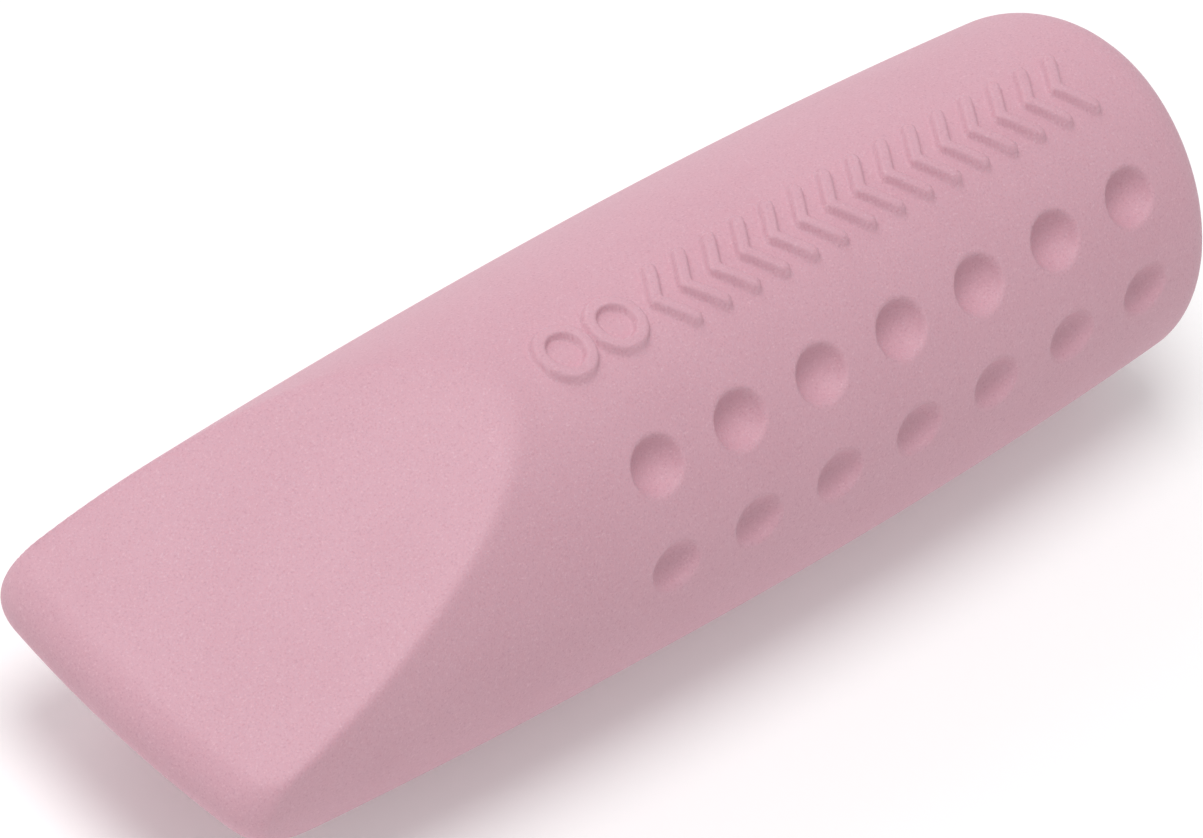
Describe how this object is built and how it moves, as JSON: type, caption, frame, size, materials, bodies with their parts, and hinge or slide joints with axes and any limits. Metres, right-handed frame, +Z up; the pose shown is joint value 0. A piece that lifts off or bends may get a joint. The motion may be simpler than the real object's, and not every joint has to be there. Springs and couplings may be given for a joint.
{
  "type": "pencil eraser cap",
  "caption": "Soft rubber eraser cap with a chisel rubbing tip, a full barrel with rows of grip dimples and raised ridge marks, and a blind bore that pushes onto the end of a pencil.",
  "frame": {"origin": "centre of the bore's mouth, in the plane of the mouth's rim", "axes": "+X out of the bore's mouth, away from the rubbing tip; +Z up, through the ridge above the top facet; +Y across the cap"},
  "size_m": [0.045, 0.0136, 0.0129],
  "materials": {
    "eraser_rubber": "matt dusty pink, with the fine grain of a textured mould"
  },
  "bodies": {
    "root": {"eraser_cap": "eraser_rubber"}
  },
  "joints": []
}
